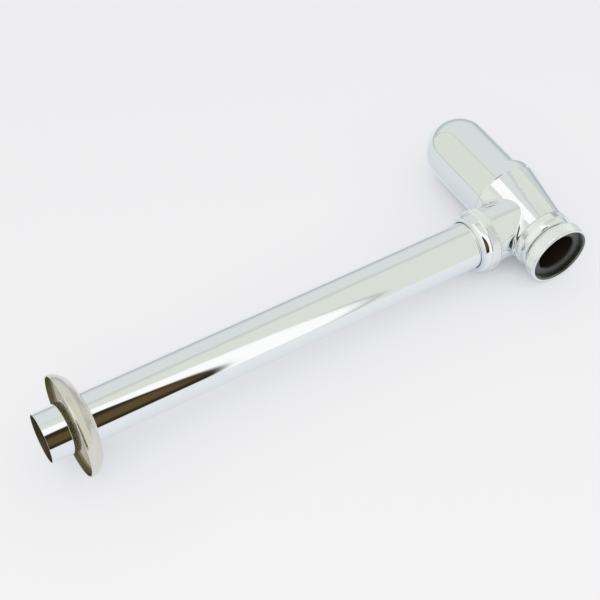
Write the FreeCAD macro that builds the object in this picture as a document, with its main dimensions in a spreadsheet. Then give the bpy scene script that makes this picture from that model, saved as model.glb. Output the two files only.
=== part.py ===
import FreeCAD
import Part
import math
import os
import Sketcher

Vector = FreeCAD.Vector

# Sizes of the trap in millimetres. Heights are measured from the outlet axis, reaches from the body axis.
SIZES = {
    "outlet_drop": 39.0,
    "tube_diameter": 32.0,
    "tube_wall": 1.0,
    "running_clearance": 0.06,
    "free_clearance": 0.3,
    "face_gap": 0.08,
    "cup_step": 4.5,
    "cup_wall": 2.0,
    "dome_drop": 75.8,
    "shoulder_foot_drop": 35.4,
    "shoulder_drop": 30.4,
    "shoulder_swell": 5.5,
    "crown_room": 1.5,
    "cone_inset": 0.2,
    "neck_sink": 1.7,
    "seal_width": 1.8,
    "spigot_lip": 1.2,
    "neck_step": 1.0,
    "oval_least": 0.04,
    "cut_over": 1.0,
    "boss_blend": 4.0,
    "tube_stop_reach": 19.5,
    "outlet_spigot_reach": 41.5,
    "neck_spigot_height": 4.5,
    "seat_depth": 3.0,
    "seal_height": 4.1,
    "slip_washer_thickness": 1.4,
    "nut_wall": 2.2,
    "nut_hole_clearance": 0.6,
    "nut_collar_step": 0.9,
    "nut_collar_share": 0.65,
    "outlet_nut_length": 13.5,
    "outlet_nut_knurl": 7.4,
    "outlet_nut_cover": 7.5,
    "neck_nut_length": 9.7,
    "neck_nut_knurl": 5.4,
    "union_nut_diameter": 44.2,
    "union_nut_height": 9.0,
    "union_nut_web": 1.8,
    "union_nut_edge": 0.6,
    "union_thread_diameter": 38.95,
    "union_thread_length": 3.4,
    "union_relief_diameter": 40.6,
    "inlet_flange_diameter": 38.2,
    "inlet_flange_thickness": 1.5,
    "inlet_tube_length": 98.0,
    "inlet_seal_diameter": 38.4,
    "inlet_seal_hole": 27.6,
    "inlet_seal_thickness": 2.0,
    "outlet_tube_length": 330.0,
    "outlet_tube_reach": 21.4,
    "tube_end_length": 18.0,
    "tube_mark_width": 0.8,
    "tube_mark_depth": 0.25,
    "tube_end_showing": 16.9,
    "flange_diameter": 65.6,
    "flange_depth": 13.1,
    "flange_crown": 3.1,
    "flange_crown_diameter": 54.0,
    "flange_round": 7.0,
    "flange_inner_round": 2.2,
    "flange_shoulder": 9.0,
    "flange_sheet": 0.9,
}

# Sizes that follow from others: a spigot holds the tube, the seal round it and a lip, the cup is a step
# wider, the neck's shoulder lies a little under the top of the boss, the crown a little under the boss's
# blend, and the outlet nut starts a thread's length behind the spigot's end
WORKED_OUT = {
    "spigot_diameter": "=tube_diameter + 2 * seal_width + 2 * spigot_lip",
    "cup_diameter": "=spigot_diameter + 2 * cup_step",
    "neck_rise": "=spigot_diameter / 2 - neck_sink",
    "crown_drop": "=spigot_diameter / 2 + boss_blend + crown_room",
    "outlet_nut_reach": "=outlet_spigot_reach - outlet_nut_cover",
}

doc = FreeCAD.newDocument("bottle_trap")
sheet = doc.addObject("Spreadsheet::Sheet", "sizes")
cells = {name: str(size) for name, size in SIZES.items()}
cells.update(WORKED_OUT)
for row, (name, content) in enumerate(cells.items(), start=1):
    sheet.set("A%d" % row, name)
    sheet.set("B%d" % row, content)
    sheet.setAlias("B%d" % row, name)
doc.recompute()


def tied(text):
    """Turn a formula in size names into one that reads the sheet."""
    words = []
    for word in text.split():
        words.append("sizes." + word if word in cells else word)
    return " ".join(words)


def origin_plane(body, role):
    """Find one of a body's own origin planes."""
    return next(f for f in body.Origin.OriginFeatures if f.Role == role)


def place(piece, x="0", z="0"):
    """Tie a piece's position to the sizes."""
    piece.setExpression(".Placement.Base.x", tied(x))
    piece.setExpression(".Placement.Base.z", tied(z))


# Where an outline and an oval start before their sizes pull them into place
START_RADIUS = 40.0
START_SPREAD = 10.0
START_LONG = 24.0
START_SHORT = 23.0


def outline(body, name, corners):
    """Draw a closed outline of radius and height pairs, every corner tied to the sizes."""
    sketch = body.newObject("Sketcher::SketchObject", name)
    sketch.AttachmentSupport = [(origin_plane(body, "XZ_Plane"), "")]
    sketch.MapMode = "FlatFace"
    count = len(corners)
    turn = [2 * math.pi * k / count for k in range(count)]
    start = []
    for a in turn:
        start.append(Vector(START_RADIUS + START_SPREAD * math.cos(a), START_SPREAD * math.sin(a), 0))
    for k in range(count):
        sketch.addGeometry(Part.LineSegment(start[k], start[(k + 1) % count]), False)
    for k in range(count):
        sketch.addConstraint(Sketcher.Constraint("Coincident", k, 2, (k + 1) % count, 1))
    for k, (radius, height) in enumerate(corners):
        across = sketch.addConstraint(Sketcher.Constraint("DistanceX", -1, 1, k, 1, start[k].x))
        sketch.setExpression("Constraints[%d]" % across, tied(radius))
        along = sketch.addConstraint(Sketcher.Constraint("DistanceY", -1, 1, k, 1, start[k].y))
        sketch.setExpression("Constraints[%d]" % along, tied(height))
    doc.recompute()
    return sketch


def turned(label, corners):
    """Make a turned piece about its own upright axis."""
    body = doc.addObject("PartDesign::Body", label)
    body.Label = label
    sketch = outline(body, label + "_outline", corners)
    solid = body.newObject("PartDesign::Revolution", label + "_turned")
    solid.Profile = sketch
    solid.ReferenceAxis = (sketch, ["V_Axis"])
    solid.Angle = 360
    doc.recompute()
    return body


def edges_at(shape, radius, height):
    """Name the round edges of a turned shape nearest to one radius and height."""
    best = {}
    for k, edge in enumerate(shape.Edges, start=1):
        curve = edge.Curve
        if isinstance(curve, Part.Circle):
            miss = abs(curve.Radius - radius) + abs(curve.Center.z - height)
            best["Edge%d" % k] = miss
    return [name for name, miss in best.items() if miss < min(best.values()) + 1e-4]


def rounded(body, radius, height, size):
    """Round one circular edge of a turned piece by a size from the sheet."""
    base = body.Tip
    names = edges_at(base.Shape, radius, height)
    fillet = body.newObject("PartDesign::Fillet", body.Label + "_round")
    fillet.Base = (base, names)
    fillet.setExpression("Radius", tied(size))
    doc.recompute()
    return fillet


def primitive(body, kind, name, sizes, x="0", z="0", level=False):
    """Add or take away a simple solid in a body, standing or lying along the outlet."""
    solid = body.newObject("PartDesign::" + kind, name)
    if level:
        solid.Placement = FreeCAD.Placement(Vector(0, 0, 0), FreeCAD.Rotation(Vector(0, 1, 0), 90))
    for field, formula in sizes.items():
        solid.setExpression(field, tied(formula))
    place(solid, x, z)
    doc.recompute()
    return solid


def oval_section(body, name, long_way, short_way, offset, height):
    """Draw one oval section of the casting, long along the outlet."""
    sketch = body.newObject("Sketcher::SketchObject", name)
    sketch.AttachmentSupport = [(origin_plane(body, "XY_Plane"), "")]
    sketch.MapMode = "FlatFace"
    sketch.setExpression(".AttachmentOffset.Base.x", tied(offset))
    sketch.setExpression(".AttachmentOffset.Base.z", tied(height))
    oval = Part.Ellipse(Vector(-START_LONG, 0, 0), Vector(0, START_SHORT, 0), Vector(0, 0, 0))
    sketch.addGeometry(oval, False)
    sketch.exposeInternalGeometry(0)
    sketch.addConstraint(Sketcher.Constraint("Coincident", 0, 3, -1, 1))
    sketch.addConstraint(Sketcher.Constraint("Horizontal", 1))
    for line, start, formula in ((1, START_LONG, long_way), (2, START_SHORT, short_way)):
        size = sketch.addConstraint(Sketcher.Constraint("Distance", line, 2 * start))
        sketch.setExpression("Constraints[%d]" % size, tied(formula))
    doc.recompute()
    return sketch


def loft(body, kind, name, sections, straight=False):
    """Run a skin through oval sections, smooth or straight from each one to the next."""
    skin = body.newObject("PartDesign::" + kind, name)
    skin.Profile = sections[0]
    skin.Sections = sections[1:]
    skin.Ruled = straight
    doc.recompute()
    return skin


# Trap body. Its own zero is the crossing of the body and outlet axes.
# The domes end in a flat the size of a pinhead.
TIP_ANGLE = -88
trap = doc.addObject("PartDesign::Body", "trap_body")
trap.Label = "trap_body"
dome = primitive(trap, "AdditiveSphere", "dome", {"Radius": "cup_diameter / 2"}, z="0 - dome_drop")
dome.Angle1 = TIP_ANGLE
primitive(trap, "AdditiveCylinder", "cup", {
    "Radius": "cup_diameter / 2",
    "Height": "dome_drop - crown_drop",
}, z="0 - dome_drop")

# Sections of the shoulder: long and short diameters, offset away from the outlet, height.
# It stands out of the cup on the far side of the outlet only, and elsewhere it is set in a little.
# From its crown a straight cone runs up to the neck.
INSET = "cup_diameter - 2 * cone_inset"
NECK = "( spigot_diameter + 2 * neck_step )"
CROWN_LONG = "cup_diameter + shoulder_swell - cone_inset"
CROWN_OFFSET = "0 - 0.5 * shoulder_swell - 0.5 * cone_inset"
SHOULDER = [
    ("foot", INSET, INSET + " - oval_least", "0", "0 - shoulder_foot_drop"),
    ("flare", "cup_diameter + 0.52 * shoulder_swell - cone_inset", INSET,
     "0 - 0.26 * shoulder_swell - 0.5 * cone_inset", "0 - 0.27 * shoulder_drop - 0.73 * shoulder_foot_drop"),
    ("swell", "cup_diameter + 0.875 * shoulder_swell - cone_inset", INSET,
     "0 - 0.438 * shoulder_swell - 0.5 * cone_inset", "0 - 0.64 * shoulder_drop - 0.36 * shoulder_foot_drop"),
    ("shoulder", CROWN_LONG, INSET, CROWN_OFFSET, "0 - shoulder_drop"),
    ("crown", CROWN_LONG, INSET, CROWN_OFFSET, "0 - crown_drop"),
]
CONE = [
    ("base", CROWN_LONG, INSET, CROWN_OFFSET, "0 - crown_drop"),
    ("top", NECK + " + oval_least", NECK, "0", "neck_rise + neck_spigot_height"),
]
INSIDE = "cup_diameter - 2.2 * cup_wall"
ROOF = "0.82 * " + NECK + " + 0.18 * cup_diameter - 2.2 * cup_wall"
INNER = [
    ("floor", INSIDE + " + 0.8 * shoulder_swell", INSIDE,
     "0 - 0.4 * shoulder_swell", "0 - 1.06 * shoulder_drop"),
    ("wide", INSIDE + " + 0.86 * shoulder_swell", INSIDE, "0 - 0.43 * shoulder_swell", "0 - crown_drop"),
    ("roof", ROOF + " + 0.18 * shoulder_swell", ROOF, "0 - 0.09 * shoulder_swell", "0.58 * neck_rise"),
]
lower = [oval_section(trap, "outer_" + step[0], *step[1:]) for step in SHOULDER]
loft(trap, "AdditiveLoft", "shoulder", lower)
upper = [oval_section(trap, "outer_" + step[0], *step[1:]) for step in CONE]
loft(trap, "AdditiveLoft", "cone", upper, straight=True)

# Outlet boss, blended into the casting along the line where they meet
boss = primitive(trap, "AdditiveCylinder", "boss", {
    "Radius": "spigot_diameter / 2",
    "Height": "outlet_spigot_reach",
}, level=True)
boss_radius = boss.Radius.Value
meet = []
for number, edge in enumerate(boss.Shape.Edges, start=1):
    if edge.Length < 1e-6:
        continue
    points = edge.discretize(9)
    on_boss = all(abs(math.hypot(p.y, p.z) - boss_radius) < 1e-3 for p in points)
    slack = max(p.x for p in points) < SIZES["outlet_spigot_reach"] - 1
    straight = all(abs(p.y - points[0].y) < 1e-3 for p in points)
    if on_boss and slack and not straight:
        meet.append("Edge%d" % number)
blend = trap.newObject("PartDesign::Fillet", "boss_round")
blend.Base = (boss, meet)
blend.setExpression("Radius", tied("boss_blend"))
doc.recompute()

# Radii of the clamp joints: the seal's seat lies between tube and spigot, the nut goes round the spigot
NUT = "spigot_diameter / 2 + nut_wall"
SEAT = "tube_diameter / 2 + seal_width"
NUT_HOLE = "tube_diameter / 2 + nut_hole_clearance"
COLLAR_WALL = "( seal_width + spigot_lip + nut_wall - nut_collar_step - nut_hole_clearance )"
COLLAR_ROUND = "nut_collar_share * " + COLLAR_WALL

# The neck is turned down to its spigot, with a flat for the neck nut that cuts into the boss
relief = outline(trap, "neck_turning", [
    ("spigot_diameter / 2", "neck_rise"),
    (NUT + " + 3 * free_clearance", "neck_rise"),
    (NUT + " + 3 * free_clearance", "neck_rise + neck_spigot_height + 4 * cut_over"),
    ("spigot_diameter / 2", "neck_rise + neck_spigot_height + 4 * cut_over"),
])
before = trap.Tip.Shape.Volume
neck_cut = trap.newObject("PartDesign::Groove", "neck_turned")
neck_cut.Profile = relief
neck_cut.ReferenceAxis = (relief, ["V_Axis"])
neck_cut.Angle = 360
doc.recompute()
assert neck_cut.Shape.Volume < before - 100, "the neck was not turned"

# Water way inside the casting
hollow = primitive(trap, "SubtractiveSphere", "dome_inside", {
    "Radius": "cup_diameter / 2 - cup_wall",
}, z="0 - dome_drop")
hollow.Angle1 = TIP_ANGLE
primitive(trap, "SubtractiveCylinder", "cup_inside", {
    "Radius": "cup_diameter / 2 - cup_wall",
    "Height": "dome_drop - 1.02 * crown_drop",
}, z="0 - dome_drop")
inner = [oval_section(trap, "inner_" + step[0], *step[1:]) for step in INNER]
loft(trap, "SubtractiveLoft", "cone_inside", inner, straight=True)
BORE = "tube_diameter / 2 + running_clearance"
primitive(trap, "SubtractiveCylinder", "neck_bore", {
    "Radius": BORE,
    "Height": "0.5 * neck_rise + neck_spigot_height + cut_over",
}, z="0.5 * neck_rise")
primitive(trap, "SubtractiveCylinder", "neck_seat", {
    "Radius": SEAT,
    "Height": "seat_depth + cut_over",
}, z="neck_rise + neck_spigot_height - seat_depth")
primitive(trap, "SubtractiveCylinder", "outlet_way", {
    "Radius": "tube_diameter / 2 - tube_wall",
    "Height": "0.5 * tube_stop_reach + cut_over",
}, x="0.5 * tube_stop_reach", level=True)
primitive(trap, "SubtractiveCylinder", "outlet_bore", {
    "Radius": BORE,
    "Height": "outlet_spigot_reach - tube_stop_reach + cut_over",
}, x="tube_stop_reach", level=True)
primitive(trap, "SubtractiveCylinder", "outlet_seat", {
    "Radius": SEAT,
    "Height": "seat_depth + cut_over",
}, x="outlet_spigot_reach - seat_depth", level=True)
place(trap, z="0 - outlet_drop")

# Inlet tube: a plain dip tube with a turned-out flange at its head
TUBE = "tube_diameter / 2"
TUBE_BORE = "tube_diameter / 2 - tube_wall"
inlet_tube = turned("inlet_tube", [
    (TUBE_BORE, "0"),
    (TUBE, "0"),
    (TUBE, "inlet_tube_length - inlet_flange_thickness"),
    ("inlet_flange_diameter / 2", "inlet_tube_length - inlet_flange_thickness"),
    ("inlet_flange_diameter / 2", "inlet_tube_length"),
    (TUBE_BORE, "inlet_tube_length"),
])
HEAD = "union_nut_web + face_gap + inlet_flange_thickness - union_nut_height"
place(inlet_tube, z=HEAD + " - inlet_tube_length")

# Flat rubber washer on the inlet tube's flange, with an eased edge round its hole
inlet_seal = turned("inlet_seal", [
    ("inlet_seal_hole / 2", "0"),
    ("inlet_seal_diameter / 2", "0"),
    ("inlet_seal_diameter / 2", "inlet_seal_thickness"),
    ("inlet_seal_hole / 2 + 0.35 * inlet_seal_thickness", "inlet_seal_thickness"),
    ("inlet_seal_hole / 2", "0.65 * inlet_seal_thickness"),
])
place(inlet_seal, z=HEAD + " + face_gap")

# Union nut: web under the tube's flange, relief for flange and washer, thread bore at the mouth
union_nut = turned("union_nut", [
    ("tube_diameter / 2 + running_clearance", "0"),
    ("union_nut_diameter / 2 - union_nut_edge", "0"),
    ("union_nut_diameter / 2", "union_nut_edge"),
    ("union_nut_diameter / 2", "union_nut_height - union_nut_edge"),
    ("union_nut_diameter / 2 - union_nut_edge", "union_nut_height"),
    ("union_thread_diameter / 2", "union_nut_height"),
    ("union_thread_diameter / 2", "union_nut_height - union_thread_length"),
    ("union_relief_diameter / 2", "union_nut_height - union_thread_length"),
    ("union_relief_diameter / 2", "union_nut_web"),
    ("tube_diameter / 2 + running_clearance", "union_nut_web"),
])
place(union_nut, z="0 - union_nut_height")


def clamp_nut(label, length, knurl, seat_face):
    """Turn a knurled clamp nut: thread bore, then a hole round the tube, with a rounded collar outside.

    Args:
        label: the piece's name.
        length: formula for the whole length.
        knurl: formula for the length of the wide, knurled part.
        seat_face: formula for how far in the face lies that bears on the slip washer.
    """
    nut = turned(label, [
        ("spigot_diameter / 2 + running_clearance", "0"),
        (NUT, "0"),
        (NUT, knurl),
        (NUT + " - nut_collar_step", knurl),
        (NUT + " - nut_collar_step", length),
        (NUT_HOLE, length),
        (NUT_HOLE, seat_face),
        ("spigot_diameter / 2 + running_clearance", seat_face),
    ])
    collar = boss_radius + SIZES["nut_wall"] - SIZES["nut_collar_step"]
    rounded(nut, collar, SIZES[length], COLLAR_ROUND)
    return nut


def seal_ring(label):
    """Turn a rubber ring that fills its seat and stands a little proud of it."""
    return turned(label, [
        (BORE, "0"),
        (SEAT + " - running_clearance", "0"),
        (SEAT + " - running_clearance", "seal_height"),
        (BORE, "seal_height"),
    ])


def slip_washer(label):
    """Turn the hard ring between a nut and its rubber ring."""
    return turned(label, [
        ("tube_diameter / 2 + free_clearance", "0"),
        ("spigot_diameter / 2 - free_clearance", "0"),
        ("spigot_diameter / 2 - free_clearance", "slip_washer_thickness"),
        ("tube_diameter / 2 + free_clearance", "slip_washer_thickness"),
    ])


# Clamp joint of the neck, upright about the body axis
NECK_SEAT = "neck_rise + neck_spigot_height - seat_depth + face_gap - outlet_drop"
NECK_WASHER = NECK_SEAT + " + seal_height + face_gap"
NECK_NUT = "neck_rise + free_clearance - outlet_drop"
place(seal_ring("neck_seal"), z=NECK_SEAT)
place(slip_washer("neck_slip_washer"), z=NECK_WASHER)
NECK_FACE = (
    "neck_spigot_height - seat_depth + seal_height + slip_washer_thickness + 3 * face_gap - free_clearance"
)
place(clamp_nut("neck_nut", "neck_nut_length", "neck_nut_knurl", NECK_FACE), z=NECK_NUT)

# Clamp joint of the outlet, lying along the outlet axis
LYING = FreeCAD.Placement(Vector(0, 0, 0), FreeCAD.Rotation(Vector(0, 1, 0), 90))
AXIS = "0 - outlet_drop"


def lay(piece, reach):
    """Turn a piece along the outlet axis and set how far out it starts."""
    piece.Placement = LYING
    place(piece, x=reach, z=AXIS)


OUT_SEAT = "outlet_spigot_reach - seat_depth + face_gap"
lay(seal_ring("outlet_seal"), OUT_SEAT)
lay(slip_washer("outlet_slip_washer"), OUT_SEAT + " + seal_height + face_gap")
OUT_FACE = (
    "outlet_spigot_reach - seat_depth + seal_height + slip_washer_thickness + 3 * face_gap - outlet_nut_reach"
)
lay(clamp_nut("outlet_nut", "outlet_nut_length", "outlet_nut_knurl", OUT_FACE), "outlet_nut_reach")

# Outlet tube, with a fine ring turned in it that marks how far it goes into the drain socket
MARK = "outlet_tube_length - tube_end_length"
outlet_tube = turned("outlet_tube", [
    (TUBE_BORE, "0"),
    (TUBE, "0"),
    (TUBE, MARK + " - tube_mark_width"),
    (TUBE + " - tube_mark_depth", MARK + " - tube_mark_width"),
    (TUBE + " - tube_mark_depth", MARK),
    (TUBE, MARK),
    (TUBE, "outlet_tube_length"),
    (TUBE_BORE, "outlet_tube_length"),
])
lay(outlet_tube, "outlet_tube_reach")

# Wall flange: one sheet, a flat cone by the tube that turns over to a straight rim at the wall
INNER_CROWN = "flange_crown_diameter / 2 - 0.4 * flange_sheet"
wall_flange = turned("wall_flange", [
    (BORE, "0"),
    ("flange_crown_diameter / 2", "flange_crown"),
    ("flange_diameter / 2", "flange_shoulder"),
    ("flange_diameter / 2", "flange_depth"),
    ("flange_diameter / 2 - flange_sheet", "flange_depth"),
    ("flange_diameter / 2 - flange_sheet", "flange_shoulder + 0.3 * flange_sheet"),
    (INNER_CROWN, "flange_crown + flange_sheet"),
    (BORE, "flange_sheet"),
])
CROWN = SIZES["flange_crown_diameter"] / 2
RIM = SIZES["flange_diameter"] / 2
SHEET = SIZES["flange_sheet"]
rounded(wall_flange, CROWN, SIZES["flange_crown"], "flange_round")
rounded(wall_flange, RIM, SIZES["flange_shoulder"], "flange_round")
rounded(wall_flange, CROWN - 0.4 * SHEET, SIZES["flange_crown"] + SHEET, "flange_round - flange_sheet")
rounded(wall_flange, RIM - SHEET, SIZES["flange_shoulder"] + 0.3 * SHEET, "flange_inner_round")
lay(wall_flange, "outlet_tube_reach + outlet_tube_length - tube_end_showing - flange_depth")

PIECES = [
    "trap_body",
    "inlet_tube",
    "inlet_seal",
    "union_nut",
    "neck_nut",
    "neck_slip_washer",
    "neck_seal",
    "outlet_nut",
    "outlet_slip_washer",
    "outlet_seal",
    "outlet_tube",
    "wall_flange",
]
doc.recompute()
for item in doc.Objects:
    if "Invalid" in item.State or "Error" in item.State:
        raise RuntimeError("%s did not build" % item.Name)
os.makedirs("parts", exist_ok=True)
for name in PIECES:
    piece = doc.getObject(name)
    shape = piece.Shape
    if shape.isNull() or not shape.isValid() or len(shape.Solids) != 1:
        raise RuntimeError("%s is not one sound solid" % name)
    shape.exportStep("parts/%s.step" % name)
    box = shape.BoundBox
    print(name, round(shape.Volume), [round(size, 2) for size in (box.XLength, box.YLength, box.ZLength)])
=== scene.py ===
"""Visual model of a chromed bottle trap lying on a pale studio table.

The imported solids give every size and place. This script dresses them: it turns the three nuts and the wall
flange anew with their knurl, thread and rounded edges, gives each piece its finish, and sets up the camera,
the light tent and the table.
Lengths in the dataclasses are millimetres unless they say otherwise; meshes are built in metres.
"""
from __future__ import annotations

import logging
import math
from dataclasses import dataclass
from enum import Enum, IntEnum
from typing import Any, Iterable, Sequence

import bmesh
import bpy
from mathutils import Matrix, Vector

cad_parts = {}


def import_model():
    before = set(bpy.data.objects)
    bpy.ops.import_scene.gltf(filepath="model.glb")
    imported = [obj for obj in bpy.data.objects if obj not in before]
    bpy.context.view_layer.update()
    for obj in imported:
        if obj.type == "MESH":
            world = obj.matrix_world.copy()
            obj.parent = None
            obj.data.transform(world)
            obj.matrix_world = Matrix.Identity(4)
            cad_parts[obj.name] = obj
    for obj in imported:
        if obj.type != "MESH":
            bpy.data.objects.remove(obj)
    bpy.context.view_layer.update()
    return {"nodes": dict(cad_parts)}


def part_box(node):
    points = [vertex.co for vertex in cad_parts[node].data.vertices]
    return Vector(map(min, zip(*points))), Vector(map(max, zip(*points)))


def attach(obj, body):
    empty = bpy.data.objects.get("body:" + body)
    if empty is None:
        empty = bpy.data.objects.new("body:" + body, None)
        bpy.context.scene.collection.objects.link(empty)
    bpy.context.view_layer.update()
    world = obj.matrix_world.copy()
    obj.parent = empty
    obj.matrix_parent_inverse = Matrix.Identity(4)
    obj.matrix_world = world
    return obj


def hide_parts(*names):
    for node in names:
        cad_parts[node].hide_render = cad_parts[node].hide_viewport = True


LOG = logging.getLogger("bottle_trap")
MM = 0.001
FULL_TURN = 2 * math.pi
# Points of a mesh that are nearer to each other than this, in metres, become one
MERGE_REACH = 1e-7
# A point this near to a radius, in metres, counts as lying on it
ON_RADIUS = 1e-6
# Edges that turn by more than this, in degrees, are drawn sharp
SHARP_ANGLE = 32.0
# The wave texture turns each unit of its scaled length into this many radians
WAVE_RADIANS = 20
# Numbers of the colour sockets on a Mix node
MIX_A = 6
MIX_B = 7
MIX_RESULT = 2
# Height of the outlet axis under the origin, in millimetres
OUTLET_DROP = 39.0
Corner = tuple[float, float]
Direction = tuple[float, float, float]
Colour = tuple[float, float, float, float]


class Way(Enum):
    """The two directions in which turned pieces lie."""

    UPRIGHT = "along the inlet"
    LEVEL = "along the outlet"


class NutFace(IntEnum):
    """Material numbers of a nut's faces."""

    PLAIN = 0
    KNURL = 1
    # Faces of the bore and thread, dark grey with painted shade
    BORE_PAINTED_SHADE = 2


class FlangeFace(IntEnum):
    """Material numbers of the flange's faces."""

    OUTSIDE = 0
    RIM_INSIDE = 1
    FLOOR = 2


def linear(colour: str) -> Colour:
    """Turn an sRGB hex colour into linear light, by the curve of the sRGB standard.

    Args:
        colour: six hex digits after a hash sign.

    Returns:
        Red, green and blue in linear light, and an alpha of 1.
    """
    parts = []
    for start in (1, 3, 5):
        share = int(colour[start:start + 2], 16) / 255
        parts.append(share / 12.92 if share <= 0.04045 else ((share + 0.055) / 1.055) ** 2.4)
    return parts[0], parts[1], parts[2], 1.0


def add_node(tree: bpy.types.NodeTree, kind: str, inputs: dict[Any, Any] | None = None,
             **settings: Any) -> bpy.types.Node:
    """Add one node with its settings and inputs.

    Args:
        tree: the node tree that takes the node.
        kind: Blender's name for the type of node.
        inputs: socket name or number, and its value or the output that feeds it.
        settings: the node's own properties.

    Returns:
        The new node.
    """
    node = tree.nodes.new(kind)
    for name, value in settings.items():
        setattr(node, name, value)
    for name, value in (inputs or {}).items():
        if isinstance(value, bpy.types.NodeSocket):
            tree.links.new(value, node.inputs[name])
        else:
            node.inputs[name].default_value = value
    return node


@dataclass(frozen=True)
class Finish:
    """A surface as a maker would order it.

    Attributes:
        name: the material and how its surface was made.
        colour: sRGB hex colour of the bare surface.
        metallic: 1 for a metal.
        roughness: mean roughness.
        spread: how far the roughness wanders up and down.
        grain: size of the surface's unevenness.
        relief: height of the unevenness.
    """

    name: str
    colour: str
    metallic: float
    roughness: float
    spread: float
    grain: float
    relief: float

    def make(self) -> bpy.types.Material:
        """Build the material: one noise in real millimetres drives both the roughness and a faint relief.

        Returns:
            The material.
        """
        material = bpy.data.materials.new(self.name)
        material.use_nodes = True
        tree = material.node_tree
        shader = tree.nodes["Principled BSDF"]
        shader.inputs["Base Color"].default_value = linear(self.colour)
        shader.inputs["Metallic"].default_value = self.metallic
        place = add_node(tree, "ShaderNodeTexCoord").outputs["Object"]
        noise = add_node(tree, "ShaderNodeTexNoise", {
            "Vector": place,
            "Scale": 1 / (self.grain * MM),
            "Detail": 3.0,
            "Roughness": 0.6,
        })
        rough = add_node(tree, "ShaderNodeMapRange", {
            "Value": noise.outputs["Fac"],
            "To Min": self.roughness - self.spread,
            "To Max": self.roughness + self.spread,
        })
        tree.links.new(rough.outputs["Result"], shader.inputs["Roughness"])
        self.shape(tree, shader, place, noise.outputs["Fac"])
        return material

    def emboss(self, tree: bpy.types.NodeTree, shader: bpy.types.Node, height: bpy.types.NodeSocket) -> None:
        """Raise the surface by the finish's relief where a pattern is high.

        Args:
            tree: the material's nodes.
            shader: the surface shader.
            height: the output with the pattern.
        """
        bump = add_node(tree, "ShaderNodeBump", {
            "Height": height,
            "Strength": 1.0,
            "Distance": self.relief * MM,
        })
        tree.links.new(bump.outputs["Normal"], shader.inputs["Normal"])

    def shape(self, tree: bpy.types.NodeTree, shader: bpy.types.Node, place: bpy.types.NodeSocket,
              noise: bpy.types.NodeSocket) -> None:
        """Turn the noise into a faint relief on the surface.

        Args:
            tree: the material's nodes.
            shader: the surface shader.
            place: the output with object coordinates.
            noise: the output with the noise.
        """
        self.emboss(tree, shader, noise)


@dataclass(frozen=True)
class SpunFinish(Finish):
    """A satin surface with fine rings round the outlet axis, left by spinning and brushing.

    Attributes:
        ring: spacing of the rings, drawn coarser than real ones so that they show.
        axis_drop: height of the outlet axis under the origin.
    """

    ring: float
    axis_drop: float

    def shape(self, tree: bpy.types.NodeTree, shader: bpy.types.Node, place: bpy.types.NodeSocket,
              noise: bpy.types.NodeSocket) -> None:
        """Lay rings round the outlet axis over the noise.

        Args:
            tree: the material's nodes.
            shader: the surface shader.
            place: the output with object coordinates.
            noise: the output with the noise.
        """
        centred = add_node(tree, "ShaderNodeMapping", {
            "Vector": place,
            "Location": (0, 0, self.axis_drop * MM),
        })
        rings = add_node(tree, "ShaderNodeTexWave", {
            "Vector": centred.outputs["Vector"],
            "Scale": FULL_TURN / (WAVE_RADIANS * self.ring * MM),
            "Distortion": 1.2,
            "Detail": 2.0,
            "Detail Scale": 2.0,
        }, wave_type="RINGS", rings_direction="X")
        both = add_node(tree, "ShaderNodeMath", {0: rings.outputs["Fac"], 1: noise}, operation="ADD")
        self.emboss(tree, shader, both.outputs["Value"])


@dataclass(frozen=True)
class BoredFinish(Finish):
    """A bright tube that is dull inside.

    Attributes:
        bore_colour: sRGB hex colour inside the tube.
        bore_radius: radius between bore and outside.
        dulling: how much rougher the bore is.
        along: direction of the tube's axis.
        axis_drop: height of that axis under the origin, 0 for an upright tube.
    """

    bore_colour: str
    bore_radius: float
    dulling: float
    along: Way
    axis_drop: float

    def shape(self, tree: bpy.types.NodeTree, shader: bpy.types.Node, place: bpy.types.NodeSocket,
              noise: bpy.types.NodeSocket) -> None:
        """Add the relief, then dull whatever lies nearer to the axis than the bore's radius.

        Args:
            tree: the material's nodes.
            shader: the surface shader.
            place: the output with object coordinates.
            noise: the output with the noise.
        """
        super().shape(tree, shader, place, noise)
        across = (1.0, 1.0, 0.0) if self.along is Way.UPRIGHT else (0.0, 1.0, 1.0)
        centred = add_node(tree, "ShaderNodeMapping", {
            "Vector": place,
            "Location": (0, 0, self.axis_drop * MM),
            "Scale": across,
        })
        reach = add_node(tree, "ShaderNodeVectorMath", {0: centred.outputs["Vector"]}, operation="LENGTH")
        inside = add_node(tree, "ShaderNodeMath", {
            0: reach.outputs["Value"],
            1: self.bore_radius * MM,
        }, operation="LESS_THAN")
        mix = add_node(tree, "ShaderNodeMix", {
            "Factor": inside.outputs["Value"],
            MIX_A: linear(self.colour),
            MIX_B: linear(self.bore_colour),
        }, data_type="RGBA")
        tree.links.new(mix.outputs[MIX_RESULT], shader.inputs["Base Color"])
        smooth = shader.inputs["Roughness"].links[0].from_socket
        dull = add_node(tree, "ShaderNodeMath", {
            0: inside.outputs["Value"],
            1: self.dulling,
            2: smooth,
        }, operation="MULTIPLY_ADD")
        tree.links.new(dull.outputs["Value"], shader.inputs["Roughness"])


# Bright chrome plate over polished brass: a mirror with a slow waviness left by the polishing wheel
CHROME = Finish("chrome plate, mirror polished", "#f4f5f5",
                metallic=1.0, roughness=0.018, spread=0.006, grain=14.0, relief=0.0015)
# The same plate over a rolled knurl, a little duller in the grooves
KNURL_CHROME = Finish("chrome plate over rolled knurl", "#f6f7f6",
                      metallic=1.0, roughness=0.19, spread=0.05, grain=0.8, relief=0.002)
# Bores and threads: dull, and dark grey as painted shade of the recess
BORE_PAINTED_SHADE = Finish("dull chrome in a turned bore, painted shade", "#7c7a74",
              metallic=1.0, roughness=0.34, spread=0.08, grain=2.5, relief=0.01)
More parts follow.
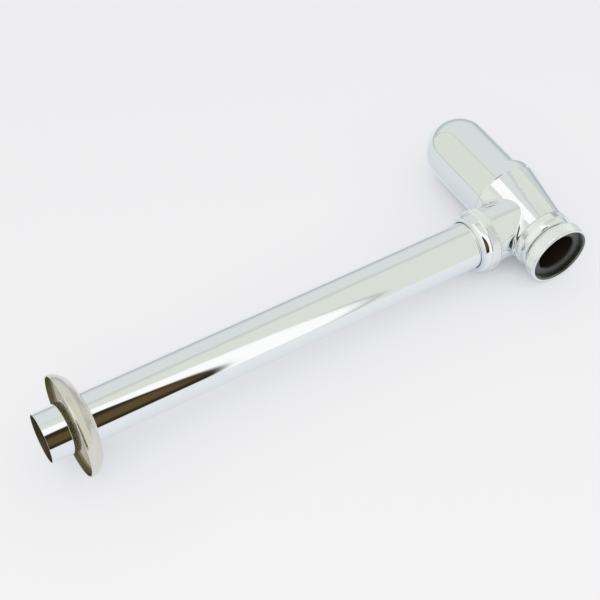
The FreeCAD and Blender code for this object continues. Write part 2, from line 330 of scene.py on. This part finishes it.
# Nickelled steel pressing, brushed while it spins: warm satin with soft highlights
SATIN = SpunFinish("nickelled steel, spun satin", "#e8e1d6",
                   metallic=1.0, roughness=0.22, spread=0.03, grain=1.2, relief=0.0006,
                   ring=1.0, axis_drop=OUTLET_DROP)
# Inside of the flange's rim: dull olive brown, painted shade and painted reflection of the dark brown
# opening
RIM_PAINTED_SHADE = Finish("painted shade inside a nickelled rim", "#8a8268",
                 metallic=1.0, roughness=0.27, spread=0.05, grain=3.0, relief=0.001)
# Floor of the flange's hollow, plated but never brushed: soft pinkish beige
UNBRUSHED = Finish("nickelled steel, unbrushed", "#d6cabc",
                   metallic=1.0, roughness=0.42, spread=0.05, grain=2.0, relief=0.003)
# Moulded rubber washer: dark grey, dull, with a fine skin
RUBBER = Finish("moulded rubber", "#4b4c49",
                metallic=0.0, roughness=0.4, spread=0.08, grain=0.35, relief=0.02)
# Hard polymer of the slip washers: near black, with the dull skin of its mould
POLYMER = Finish("moulded black polypropylene", "#1c1c1c",
                 metallic=0.0, roughness=0.42, spread=0.06, grain=0.5, relief=0.01)


def plated_tube(name: str, along: Way, axis_drop: float) -> BoredFinish:
    """Order the mirror chrome for a drawn tube whose bore stays bare, brown and dull.

    Args:
        name: the material and how its surface was made.
        along: direction of the tube's axis.
        axis_drop: height of that axis under the origin.

    Returns:
        The tube's finish.
    """
    return BoredFinish(name, CHROME.colour, CHROME.metallic, CHROME.roughness, CHROME.spread, CHROME.grain,
                       CHROME.relief, bore_colour="#8a7a6a", bore_radius=15.4, dulling=0.4, along=along,
                       axis_drop=axis_drop)


DIP_TUBE = plated_tube("chrome plate on a drawn tube, inlet", Way.UPRIGHT, 0.0)
WALL_TUBE = plated_tube("chrome plate on a drawn tube, outlet", Way.LEVEL, OUTLET_DROP)


class Palette:
    """Makes each finish once and hands it out."""

    def __init__(self) -> None:
        """Start with nothing made."""
        self.made: dict[str, bpy.types.Material] = {}

    def get(self, finish: Finish) -> bpy.types.Material:
        """Look a finish up, and make it the first time.

        Args:
            finish: the finish.

        Returns:
            Its material.
        """
        if finish.name not in self.made:
            self.made[finish.name] = finish.make()
        return self.made[finish.name]

    def dress(self, piece: bpy.types.Object, *finishes: Finish) -> None:
        """Give a piece its finishes, one for each material number.

        Args:
            piece: the object to dress.
            finishes: finishes in the order of the piece's material numbers.
        """
        # Clearing sets the faces' material numbers to 0, so a new mesh is left as it is
        if piece.data.materials:
            piece.data.materials.clear()
        for finish in finishes:
            piece.data.materials.append(self.get(finish))


@dataclass
class Lathe:
    """Turns a closed outline of radius and length into a ring-shaped mesh.

    Attributes:
        columns: number of steps round the piece.
        round_steps: number of steps in a rounded corner.
    """

    columns: int
    round_steps: int = 5

    def turn(self, corners: Sequence[Corner], rounds: dict[int, float]) -> bmesh.types.BMesh:
        """Spin an outline about the upright axis.

        Args:
            corners: radius and length of each corner, in millimetres.
            rounds: corner number and the radius of its round, in millimetres.

        Returns:
            The turned mesh, in metres, with its faces outwards.
        """
        mesh = bmesh.new()
        ring = [mesh.verts.new((radius * MM, 0, along * MM)) for radius, along in corners]
        for k, vert in enumerate(ring):
            mesh.edges.new((vert, ring[(k + 1) % len(ring)]))
        for k, radius in rounds.items():
            coming = Vector(corners[k]) - Vector(corners[k - 1])
            going = Vector(corners[(k + 1) % len(corners)]) - Vector(corners[k])
            run = radius * math.tan(coming.angle(going) / 2)
            bmesh.ops.bevel(mesh, geom=[ring[k]], offset=run * MM, offset_type="OFFSET", affect="VERTICES",
                            segments=self.round_steps, profile=0.5, material=-1)
        bmesh.ops.spin(mesh, geom=mesh.verts[:] + mesh.edges[:], cent=(0, 0, 0), axis=(0, 0, 1),
                       angle=FULL_TURN, steps=self.columns, use_merge=True, use_duplicate=False)
        bmesh.ops.remove_doubles(mesh, verts=mesh.verts[:], dist=MERGE_REACH)
        bmesh.ops.recalc_face_normals(mesh, faces=mesh.faces[:])
        for face in mesh.faces:
            face.smooth = True
        return mesh


@dataclass
class Knurl:
    """Diamond knurl: little pyramids pressed into a band.

    Attributes:
        low: where the band starts along the piece.
        high: where it ends.
        radius: radius at the tips.
        depth: depth of the grooves.
        rows: half diamonds along the band.
        columns: half diamonds round the band, an even number.
    """

    low: float
    high: float
    radius: float
    depth: float
    rows: int
    columns: int

    def corners(self) -> list[Corner]:
        """List the outline's corners that cross the band."""
        step = (self.high - self.low) / self.rows
        return [(self.radius, self.low + step * row) for row in range(self.rows + 1)]

    def press(self, mesh: bmesh.types.BMesh) -> None:
        """Press the grooves into a turned mesh and split its faces along them.

        Args:
            mesh: a turned mesh with this band's corners in its outline.
        """
        step = (self.high - self.low) / self.rows * MM
        turn = FULL_TURN / self.columns
        tips = set()
        band = set()
        for vert in mesh.verts:
            if abs(math.hypot(vert.co.x, vert.co.y) - self.radius * MM) > ON_RADIUS:
                continue
            row = round((vert.co.z - self.low * MM) / step)
            if not 0 <= row <= self.rows:
                continue
            band.add(vert)
            column = round(math.atan2(vert.co.y, vert.co.x) / turn)
            if 0 < row < self.rows and (row + column) % 2 == 0:
                tips.add(vert)
        faces = [face for face in mesh.faces if all(vert in band for vert in face.verts)]
        share = 1 - self.depth / self.radius
        for vert in band - tips:
            vert.co.x *= share
            vert.co.y *= share
        for face in faces:
            face.smooth = False
            face.material_index = NutFace.KNURL
            tip = next((loop for loop in face.loops if loop.vert in tips), None)
            if tip is not None:
                bmesh.utils.face_split(face, tip.link_loop_prev.vert, tip.link_loop_next.vert)


@dataclass(frozen=True)
class Blank:
    """The round room that a turned piece fills.

    Attributes:
        radius: its radius.
        length: its length along its axis.
        start: where its axis starts, in metres.
    """

    radius: float
    length: float
    start: Vector


def blank_of(node: str, way: Way) -> Blank:
    """Read the room of a turned piece from its solid.

    Args:
        node: name of the solid.
        way: the direction it lies in.

    Returns:
        The room.
    """
    low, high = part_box(node)
    radius = (high[1] - low[1]) / 2 / MM
    if way is Way.UPRIGHT:
        return Blank(radius, (high[2] - low[2]) / MM, Vector((0, 0, low[2])))
    return Blank(radius, (high[0] - low[0]) / MM, Vector((low[0], 0, (low[2] + high[2]) / 2)))


def mark_inside(mesh: bmesh.types.BMesh, number: int, lean: float) -> None:
    """Give the faces that look towards the axis a finish of their own.

    Args:
        mesh: a turned mesh, upright about its own axis.
        number: the finish's number on the piece.
        lean: how squarely a face has to look inwards, from 0 to 1.
    """
    for face in mesh.faces:
        middle = face.calc_center_median()
        outwards = Vector((middle.x, middle.y, 0)).normalized()
        if face.normal.dot(outwards) < -lean:
            face.material_index = number


def settle(name: str, mesh: bmesh.types.BMesh, way: Way, start: Vector) -> bpy.types.Object:
    """Place a turned mesh in the part's frame and make it an object.

    Args:
        name: the object's name.
        mesh: the mesh, upright about its own axis and freed here.
        way: the direction it lies in.
        start: where its own zero goes, in metres.

    Returns:
        The object, at the origin, with its place in its mesh.
    """
    if way is Way.LEVEL:
        lay_down = Matrix.Rotation(math.pi / 2, 3, "Y")
        bmesh.ops.rotate(mesh, verts=mesh.verts[:], cent=(0, 0, 0), matrix=lay_down)
    bmesh.ops.translate(mesh, verts=mesh.verts[:], vec=start)
    data = bpy.data.meshes.new(name)
    mesh.to_mesh(data)
    mesh.free()
    data.set_sharp_from_angle(angle=math.radians(SHARP_ANGLE))
    piece = bpy.data.objects.new(name, data)
    bpy.context.scene.collection.objects.link(piece)
    return piece


def stand_for(piece: bpy.types.Object, node: str) -> None:
    """Let a new piece stand for a solid: it moves with that body and hides the solid.

    Args:
        piece: the new piece.
        node: name of the solid, and also of its body.
    """
    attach(piece, node)
    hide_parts(node)
    LOG.info("%s: %d faces", piece.name, len(piece.data.polygons))


@dataclass
class ClampNut:
    """A clamp nut: knurled band, smooth rounded collar, hole round the tube.

    Attributes:
        node: name of the solid that it stands for.
        way: the direction it lies in.
        knurl_length: length of the knurled band with its edges.
        collar_round: rounding of the collar's far edge.
        seat: how far in the face lies that bears on the slip washer.
        rows: half diamonds along the knurl.
        columns: half diamonds round the knurl.
        knurl_depth: depth of the knurl's grooves.
        edge: width of the bevel on either side of the knurl.
        collar_radius: radius of the smooth collar.
        collar_taper: how much narrower the collar is at its far end.
        bore_radius: radius of the thread bore.
        hole_radius: radius of the hole round the tube.
        hole_round: rounding of the hole's outer edge.
    """

    node: str
    way: Way
    knurl_length: float
    collar_round: float
    seat: float
    rows: int
    columns: int = 224
    knurl_depth: float = 0.42
    edge: float = 0.35
    collar_radius: float = 20.3
    collar_taper: float = 0.5
    bore_radius: float = 19.06
    hole_radius: float = 16.3
    hole_round: float = 0.6

    def build(self, palette: Palette) -> bpy.types.Object:
        """Turn the nut, press its knurl and let it stand for its solid.

        Args:
            palette: the finishes.

        Returns:
            The nut.
        """
        blank = blank_of(self.node, self.way)
        knurl = Knurl(self.edge, self.knurl_length - self.edge, blank.radius, self.knurl_depth, self.rows,
                      self.columns)
        lip = blank.radius - self.knurl_depth - self.edge / 2
        outline: list[Corner] = [(self.bore_radius, 0), (lip, 0)]
        outline += knurl.corners()
        outline += [(lip, self.knurl_length), (self.collar_radius, self.knurl_length)]
        far_edge = len(outline)
        outline += [
            (self.collar_radius - self.collar_taper, blank.length),
            (self.hole_radius, blank.length),
            (self.hole_radius, self.seat),
            (self.bore_radius, self.seat),
        ]
        rounds = {far_edge: self.collar_round, far_edge + 1: self.hole_round}
        mesh = Lathe(self.columns).turn(outline, rounds)
        knurl.press(mesh)
        piece = settle(self.node + "_knurled", mesh, self.way, blank.start)
        palette.dress(piece, CHROME, KNURL_CHROME)
        stand_for(piece, self.node)
        return piece


@dataclass
class UnionNut:
    """The nut at the mouth: knurled outside, threaded in the mouth, with a web under the tube's flange.

    Attributes:
        node: name of the solid that it stands for.
        hole_radius: radius of the hole round the tube.
        web: thickness of the web.
        relief_radius: radius inside, behind the thread.
        thread_radius: radius at the thread's crests.
        thread_length: length of the thread.
        pitch: spacing of the thread's ridges, which are drawn as rings.
        crest: share of the pitch that a crest is wide.
        root: share of the pitch after which a groove is deepest.
        root_depth: share of the room behind the crests that a groove takes up.
        lead: width of the bevel that leads into the thread.
        mouth_round: rounding where that bevel meets the rim.
        rim: height of the smooth rim at the mouth, with the groove under it.
        rim_inset: how far the rim lies inside the knurl's tips.
        rim_round: rounding of the rim.
        groove: depth of the groove between knurl and rim.
        groove_side: height of each side of that groove.
        foot: width of the bevel under the knurl.
        knurl_depth: depth of the knurl's grooves.
        rows: half diamonds along the knurl.
        columns: half diamonds round the knurl.
        inward: how squarely a face looks inwards that counts as bore.
    """

    node: str = "union_nut"
    hole_radius: float = 16.06
    web: float = 1.8
    relief_radius: float = 20.3
    thread_radius: float = 19.475
    thread_length: float = 3.4
    pitch: float = 1.1
    crest: float = 0.3
    root: float = 0.65
    root_depth: float = 0.8
    lead: float = 1.0
    mouth_round: float = 0.2
    rim: float = 1.2
    rim_inset: float = 0.1
    rim_round: float = 0.7
    groove: float = 0.45
    groove_side: float = 0.25
    foot: float = 0.6
    knurl_depth: float = 0.42
    rows: int = 10
    columns: int = 232
    inward: float = 0.3

    def thread(self, height: float) -> list[Corner]:
        """List the corners of the thread from the mouth inwards.

        Args:
            height: height of the nut.

        Returns:
            Radius and height of each corner.
        """
        corners: list[Corner] = []
        depth = self.root_depth * (self.relief_radius - self.thread_radius)
        ridge = height - self.lead
        while ridge - self.pitch > height - self.thread_length:
            corners.append((self.thread_radius, ridge))
            corners.append((self.thread_radius, ridge - self.crest * self.pitch))
            corners.append((self.thread_radius + depth, ridge - self.root * self.pitch))
            ridge -= self.pitch
        corners.append((self.thread_radius, ridge))
        corners.append((self.thread_radius, height - self.thread_length))
        return corners

    def build(self, palette: Palette) -> bpy.types.Object:
        """Turn the nut, press its knurl and let it stand for its solid.

        Args:
            palette: the finishes.

        Returns:
            The nut.
        """
        blank = blank_of(self.node, Way.UPRIGHT)
        height = blank.length
        knurl_top = height - self.rim
        rim_radius = blank.radius - self.rim_inset
        knurl = Knurl(self.foot, knurl_top, blank.radius, self.knurl_depth, self.rows, self.columns)
        outline: list[Corner] = [(self.hole_radius, 0), (blank.radius - self.foot, 0)]
        outline += knurl.corners()
        outline += [
            (blank.radius - self.groove, knurl_top + self.groove_side),
            (rim_radius, knurl_top + 2 * self.groove_side),
        ]
        rim_edge = len(outline)
        outline += [(rim_radius, height), (self.thread_radius + self.lead, height)]
        outline += self.thread(height)
        outline += [
            (self.relief_radius, height - self.thread_length),
            (self.relief_radius, self.web),
            (self.hole_radius, self.web),
        ]
        rounds = {rim_edge: self.rim_round, rim_edge + 1: self.mouth_round}
        mesh = Lathe(self.columns).turn(outline, rounds)
        knurl.press(mesh)
        # Faces that look inwards get the bore finish, whose dark grey is painted shade
        mark_inside(mesh, NutFace.BORE_PAINTED_SHADE, self.inward)
        piece = settle(self.node + "_knurled", mesh, Way.UPRIGHT, blank.start)
        palette.dress(piece, CHROME, KNURL_CHROME, BORE_PAINTED_SHADE)
        stand_for(piece, self.node)
        return piece


@dataclass
class WallFlange:
    """The flange at the wall: one dished sheet, bright outside, dull and olive brown with painted shade
    inside its rim.

    Attributes:
        node: name of the solid that it stands for.
        bore_radius: radius of its hole.
        crown_radius: radius where the flat cone turns over.
        crown: depth at that radius.
        shoulder: depth where the rim starts.
        sheet: thickness of the sheet.
        crown_shift: share of the sheet by which the inner turn lies nearer to the axis.
        shoulder_shift: share of the sheet by which the rim starts deeper inside.
        turn_round: rounding where the sheet turns over.
        inner_round: rounding inside the rim.
        lip_round: rounding of the rim's two edges.
        round_steps: number of steps in a rounded corner.
        columns: number of steps round the flange.
        floor_lean: how squarely a face looks to the wall that counts as floor of the hollow.
        rim_lean: how squarely a face looks inwards that counts as inside of the rim.
    """

    node: str = "wall_flange"
    bore_radius: float = 16.06
    crown_radius: float = 27.0
    crown: float = 3.1
    shoulder: float = 9.0
    sheet: float = 0.9
    crown_shift: float = 0.4
    shoulder_shift: float = 0.3
    turn_round: float = 7.0
    inner_round: float = 2.2
    lip_round: float = 0.4
    round_steps: int = 8
    columns: int = 256
    floor_lean: float = 0.3
    rim_lean: float = 0.75

    def build(self, palette: Palette) -> bpy.types.Object:
        """Turn the flange and let it stand for its solid.

        Args:
            palette: the finishes.

        Returns:
            The flange.
        """
        blank = blank_of(self.node, Way.LEVEL)
        inner_radius = blank.radius - self.sheet
        outline: list[Corner] = [
            (self.bore_radius, 0),
            (self.crown_radius, self.crown),
            (blank.radius, self.shoulder),
            (blank.radius, blank.length),
            (inner_radius, blank.length),
            (inner_radius, self.shoulder + self.shoulder_shift * self.sheet),
            (self.crown_radius - self.crown_shift * self.sheet, self.crown + self.sheet),
            (self.bore_radius, self.sheet),
        ]
        rounds = {
            1: self.turn_round,
            2: self.turn_round,
            3: self.lip_round,
            4: self.lip_round,
            5: self.inner_round,
            6: self.turn_round - self.sheet,
        }
        mesh = Lathe(self.columns, self.round_steps).turn(outline, rounds)
        for face in mesh.faces:
            if face.normal.z > self.floor_lean and face.calc_center_median().z < self.shoulder * MM:
                face.material_index = FlangeFace.FLOOR
        # The rim's inside faces get the olive brown of painted shade
        mark_inside(mesh, FlangeFace.RIM_INSIDE, self.rim_lean)
        piece = settle(self.node + "_dished", mesh, Way.LEVEL, blank.start)
        palette.dress(piece, SATIN, RIM_PAINTED_SHADE, UNBRUSHED)
        stand_for(piece, self.node)
        return piece


@dataclass
class Solids:
    """The solids that show as they are, each with its finish.

    Attributes:
        nodes: name and object of every solid.
    """

    nodes: dict[str, bpy.types.Object]

    def dress(self, palette: Palette, finishes: dict[str, Finish]) -> None:
        """Give each solid its finish.

        Args:
            palette: the finishes.
            finishes: solid's name and its finish.
        """
        for name, finish in finishes.items():
            palette.dress(self.nodes[name], finish)
            LOG.info("%s: %s", name, finish.name)


@dataclass(frozen=True)
class Side:
    """One edge of a panel of light: directions count as inside where they lean towards the normal.

    Attributes:
        normal: points to the inside.
        offset: how far the edge lies from the middle, as a sine.
        blur: width of the edge, as a sine.
    """

    normal: Direction
    offset: float
    blur: float


@dataclass(frozen=True)
class Panel:
    """A part of the light tent, seen in the chrome as one field of colour.

    Attributes:
        name: what it is.
        colour: its sRGB hex colour.
        sides: its edges.
    """

    name: str
    colour: str
    sides: tuple[Side, ...]


# Directions in the part's frame, whose Y axis points down to the table because the part lies on its side
UP = (0.0, -1.0, 0.0)
DOWN = (0.0, 1.0, 0.0)
TO_OUTLET = (1.0, 0.0, 0.0)
FROM_OUTLET = (-1.0, 0.0, 0.0)
TO_INLET = (0.0, 0.0, 1.0)
TO_CUP = (0.0, 0.0, -1.0)


def above(angle: float, blur: float) -> Side:
    """Edge of what lies higher over the table than an angle in degrees."""
    return Side(UP, math.sin(math.radians(angle)), blur)


def below(angle: float, blur: float) -> Side:
    """Edge of what lies lower over the table than an angle in degrees."""
    return Side(DOWN, -math.sin(math.radians(angle)), blur)


def past(angle: float, blur: float, lean: float = 0.0) -> Side:
    """Edge of what lies on the rising side of a compass angle.

    Args:
        angle: compass angle in the table's plane, in degrees from the outlet towards the inlet.
        blur: width of the edge.
        lean: how far the edge leans over as it rises.

    Returns:
        The edge.
    """
    turn = math.radians(angle)
    return Side((-math.sin(turn), -lean, math.cos(turn)), 0.0, blur)


def before(angle: float, blur: float, lean: float = 0.0) -> Side:
    """Edge of what lies on the falling side of a compass angle in degrees."""
    side = past(angle, blur, lean)
    return Side(tuple(-part for part in side.normal), 0.0, blur)


# The seam between the tent's inlet and outlet walls, from either side
SEAM = Side((0.959, -0.033, 0.284), -0.015, 0.01)
SEAM_BACK = Side((-0.959, 0.033, -0.284), -0.005, 0.01)
# The seam of the far wall, from either side
FAR_SEAM = Side((-0.285, -0.289, 0.913), -0.042, 0.015)
FAR_SEAM_BACK = Side((0.285, 0.289, -0.913), 0.022, 0.01)
# Where the walls rise from the table
TABLE_EDGE = Side((0.1, 1.0, 0.037), 0.125, 0.02)
# Compass angle of the upright edge between opening and light strip, and how the strip's two edges lean
STRIP_ANGLE = 105.3
STRIP_LEAN = -0.0435
STRIP_BACK_LEAN = -0.095
STRIP_EDGE = past(STRIP_ANGLE, 0.02, STRIP_LEAN)
# Panels of the tent, each laid over those before it
TENT = (
    Panel("far wall", "#dce0d9", (FAR_SEAM,)),
    Panel("far seam", "#c6cdcb", (FAR_SEAM, FAR_SEAM_BACK)),
    Panel("outlet side", "#dadfd7", (SEAM,)),
    Panel("outlet end", "#e2e6de", (
        Side(TO_OUTLET, 0.68, 0.08),
        Side(TO_INLET, -0.49, 0.02),
        above(5, 0.08),
    )),
    Panel("seam", "#b9c1be", (SEAM, SEAM_BACK, Side(TO_CUP, 0.0, 0.05))),
    Panel("foot of the inlet walls", "#b3bbbe", (below(6, 0.22), before(-72, 0.03), past(-200, 0.03))),
    Panel("foot of the outlet walls", "#b9beba", (below(-1, 0.05), past(-72, 0.03), before(60, 0.03))),
    Panel("roof", "#cbd0cc", (
        Side(TO_INLET, -0.37, 0.03),
        Side(TO_CUP, 0.2, 0.07),
        Side(FROM_OUTLET, 0.14, 0.03),
        above(40, 0.05),
    )),
    Panel("cone lamp", "#ffffff", (
        SEAM,
        Side(TO_INLET, -0.475, 0.015),
        Side(FROM_OUTLET, -0.52, 0.02),
        above(40, 0.02),
    )),
    Panel("outlet lamp", "#eceee9", (
        Side(TO_OUTLET, 0.3, 0.05),
        Side(TO_INLET, -0.3, 0.05),
        above(12, 0.08),
    )),
    Panel("table", "#e5e9ed", (TABLE_EDGE,)),
    Panel("table by the outlet", "#d8dfe3", (TABLE_EDGE, Side(TO_OUTLET, 0.15, 0.1))),
    Panel("lamp frame", "#aeb5b2", (
        STRIP_EDGE,
        before(112.7, 0.008, STRIP_BACK_LEAN),
        above(-10, 0.1),
        below(42, 0.08),
    )),
    Panel("light strip", "#ffffff", (STRIP_EDGE, before(111.8, 0.022, STRIP_BACK_LEAN), above(-10, 0.1))),
    Panel("dark opening", "#2d2920", (
        before(STRIP_ANGLE, 0.01, STRIP_LEAN),
        Side(FROM_OUTLET, -0.2, 0.06),
        past(0, 0.02),
        above(-4, 0.03),
        below(60, 0.03),
    )),
    Panel("brown in the opening", "#5b4b30", (
        before(104.3, 0.03, STRIP_LEAN),
        past(66, 0.1),
        above(10, 0.12),
        below(42, 0.12),
        Side(FROM_OUTLET, 0.0, 0.04),
    )),
)


@dataclass
class Studio:
    """Camera, light tent and table.

    Attributes:
        walls: colour of the tent where no panel lies.
        strength: brightness of the tent in what it lights.
        paper_low: colour of the backdrop at its darker end.
        paper_high: colour of the backdrop at its lighter end.
        paper_rise: direction in which the backdrop gets lighter.
        paper_ends: where along that direction the two colours are reached.
        lens: focal length of the camera.
        sensor: width of its sensor.
        stand: where the camera stands.
        right: direction of the picture's right side.
        up: direction of the picture's top.
        back: direction out of the picture.
        nearest: nearest distance that the camera sees, in metres.
        furthest: furthest distance that the camera sees, in metres.
        table_reach: how far the table reaches to each side.
        table_drop: how far it lies under the origin.
        table_slope: how far it drops for each millimetre towards the outlet.
        shadow_reach: how far from the object the table is shaded.
        shadow: darkest colour of the shade.
        shadow_steps: how open the table is to the sky, and its colour there.
    """

    walls: str = "#d8dedd"
    strength: float = 1.06
    paper_low: str = "#ededef"
    paper_high: str = "#f5f4f5"
    paper_rise: Direction = (0.3, 0.64, 0.7)
    paper_ends: tuple[float, float] = (-0.25, 0.3)
    lens: float = 77.74
    sensor: float = 36.0
    stand: Direction = (446.6, -633.3, 394.3)
    right: Direction = (-0.8583, -0.0160, 0.5129)
    up: Direction = (-0.3852, -0.6402, -0.6646)
    back: Direction = (0.3389, -0.7680, 0.5434)
    nearest: float = 0.01
    furthest: float = 20.0
    table_reach: float = 1500.0
    table_drop: float = 23.4
    table_slope: float = 0.029
    shadow_reach: float = 80.0
    shadow: str = "#80878d"
    shadow_steps: tuple[tuple[float, str], ...] = ((0.3, "#e0e3e6"), (0.6, "#f4f5f6"))

    def camera(self) -> None:
        """Set the camera where the photograph was taken from."""
        data = bpy.data.cameras.new("camera")
        data.sensor_width = self.sensor
        data.lens = self.lens
        data.clip_start = self.nearest
        data.clip_end = self.furthest
        camera = bpy.data.objects.new("camera", data)
        turn = Matrix((self.right, self.up, self.back)).transposed()
        camera.matrix_world = Matrix.Translation(Vector(self.stand) * MM) @ turn.to_4x4()
        bpy.context.scene.collection.objects.link(camera)
        bpy.context.scene.camera = camera

    def mask(self, tree: bpy.types.NodeTree, panel: Panel,
             direction: bpy.types.NodeSocket) -> bpy.types.NodeSocket:
        """Work out how far a direction lies inside a panel.

        Args:
            tree: the world's nodes.
            panel: the panel.
            direction: the output with the direction.

        Returns:
            The output with the share, from 0 to 1.
        """
        share = None
        for side in panel.sides:
            lean = add_node(tree, "ShaderNodeVectorMath", {
                0: direction,
                1: side.normal,
            }, operation="DOT_PRODUCT")
            edge = add_node(tree, "ShaderNodeMapRange", {
                "Value": lean.outputs["Value"],
                "From Min": side.offset - side.blur,
                "From Max": side.offset + side.blur,
            }, interpolation_type="SMOOTHSTEP").outputs["Result"]
            if share is None:
                share = edge
            else:
                both = add_node(tree, "ShaderNodeMath", {0: share, 1: edge}, operation="MULTIPLY")
                share = both.outputs["Value"]
        return share

    def tent(self, tree: bpy.types.NodeTree, direction: bpy.types.NodeSocket) -> bpy.types.NodeSocket:
        """Lay the panels over the tent's plain walls.

        Args:
            tree: the world's nodes.
            direction: the output with the direction.

        Returns:
            The output with the tent's light.
        """
        colour: Colour | bpy.types.NodeSocket = linear(self.walls)
        for panel in TENT:
            mix = add_node(tree, "ShaderNodeMix", {
                "Factor": self.mask(tree, panel, direction),
                MIX_A: colour,
                MIX_B: linear(panel.colour),
            }, data_type="RGBA", label=panel.name)
            colour = mix.outputs[MIX_RESULT]
        light = add_node(tree, "ShaderNodeBackground", {"Color": colour, "Strength": self.strength})
        return light.outputs["Background"]

    def backdrop(self, tree: bpy.types.NodeTree, direction: bpy.types.NodeSocket) -> bpy.types.NodeSocket:
        """Shade the pale paper that the camera sees round the object.

        Args:
            tree: the world's nodes.
            direction: the output with the direction.

        Returns:
            The output with the paper's light.
        """
        lean = add_node(tree, "ShaderNodeVectorMath", {
            0: direction,
            1: self.paper_rise,
        }, operation="DOT_PRODUCT")
        rise = add_node(tree, "ShaderNodeMapRange", {
            "Value": lean.outputs["Value"],
            "From Min": self.paper_ends[0],
            "From Max": self.paper_ends[1],
        })
        paper = add_node(tree, "ShaderNodeMix", {
            "Factor": rise.outputs["Result"],
            MIX_A: linear(self.paper_low),
            MIX_B: linear(self.paper_high),
        }, data_type="RGBA")
        light = add_node(tree, "ShaderNodeBackground", {"Color": paper.outputs[MIX_RESULT], "Strength": 1.0})
        return light.outputs["Background"]

    def world(self) -> None:
        """Build the light tent, with a plain pale backdrop for the camera."""
        world = bpy.data.worlds.new("light tent")
        bpy.context.scene.world = world
        world.use_nodes = True
        tree = world.node_tree
        tree.nodes.clear()
        direction = add_node(tree, "ShaderNodeTexCoord").outputs["Generated"]
        seen = add_node(tree, "ShaderNodeLightPath").outputs["Is Camera Ray"]
        both = add_node(tree, "ShaderNodeMixShader", {
            0: seen,
            1: self.tent(tree, direction),
            2: self.backdrop(tree, direction),
        })
        add_node(tree, "ShaderNodeOutputWorld", {"Surface": both.outputs["Shader"]})

    def shade(self) -> bpy.types.Material:
        """Make the table's surface: clear, but tinted where the object keeps the sky from it.

        Returns:
            The material, clear from below.
        """
        material = bpy.data.materials.new("pale table, shadow only")
        material.use_nodes = True
        tree = material.node_tree
        tree.nodes.clear()
        open_sky = add_node(tree, "ShaderNodeAmbientOcclusion", {
            "Distance": self.shadow_reach * MM,
        }, samples=16)
        tint = add_node(tree, "ShaderNodeValToRGB", {"Fac": open_sky.outputs["AO"]})
        ramp = tint.color_ramp
        ramp.elements[0].color = linear(self.shadow)
        ramp.elements[1].color = linear("#ffffff")
        for share, colour in self.shadow_steps:
            ramp.elements.new(share).color = linear(colour)
        shaded = add_node(tree, "ShaderNodeBsdfTransparent", {"Color": tint.outputs["Color"]})
        clear = add_node(tree, "ShaderNodeBsdfTransparent", {"Color": linear("#ffffff")})
        facing = add_node(tree, "ShaderNodeNewGeometry").outputs["Backfacing"]
        both = add_node(tree, "ShaderNodeMixShader", {
            0: facing,
            1: shaded.outputs["BSDF"],
            2: clear.outputs["BSDF"],
        })
        add_node(tree, "ShaderNodeOutputMaterial", {"Surface": both.outputs["Shader"]})
        return material

    def table(self) -> None:
        """Lay a clear sheet under the object that takes only its soft shadow and is no part of it."""
        mesh = bmesh.new()
        bmesh.ops.create_grid(mesh, x_segments=1, y_segments=1, size=self.table_reach * MM)
        lay_flat = Matrix.Rotation(math.pi / 2, 3, "X")
        tilt = Matrix.Rotation(math.atan(self.table_slope), 3, "Z")
        for turn in (lay_flat, tilt):
            bmesh.ops.rotate(mesh, verts=mesh.verts[:], cent=(0, 0, 0), matrix=turn)
        bmesh.ops.translate(mesh, verts=mesh.verts[:], vec=(0, self.table_drop * MM, 0))
        data = bpy.data.meshes.new("table")
        mesh.to_mesh(data)
        mesh.free()
        data.materials.append(self.shade())
        sheet = bpy.data.objects.new("table", data)
        bpy.context.scene.collection.objects.link(sheet)

    def build(self) -> None:
        """Set up the camera, the light and the table."""
        self.camera()
        self.world()
        self.table()
        bpy.context.scene.view_settings.view_transform = "Standard"


def main() -> None:
    """Build the scene piece by piece."""
    logging.basicConfig(level=logging.INFO, format="%(message)s")
    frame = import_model()
    palette = Palette()
    Studio().build()
    ClampNut("neck_nut", Way.UPRIGHT, knurl_length=5.4, collar_round=2.6, seat=6.94, rows=9).build(palette)
    ClampNut("outlet_nut", Way.LEVEL, knurl_length=7.4, collar_round=3.0, seat=10.24, rows=12).build(palette)
    UnionNut().build(palette)
    WallFlange().build(palette)
    Solids(frame["nodes"]).dress(palette, {
        "trap_body": CHROME,
        "inlet_tube": DIP_TUBE,
        "outlet_tube": WALL_TUBE,
        "inlet_seal": RUBBER,
        "neck_seal": RUBBER,
        "outlet_seal": RUBBER,
        "neck_slip_washer": POLYMER,
        "outlet_slip_washer": POLYMER,
    })


if __name__ == "__main__":
    main()
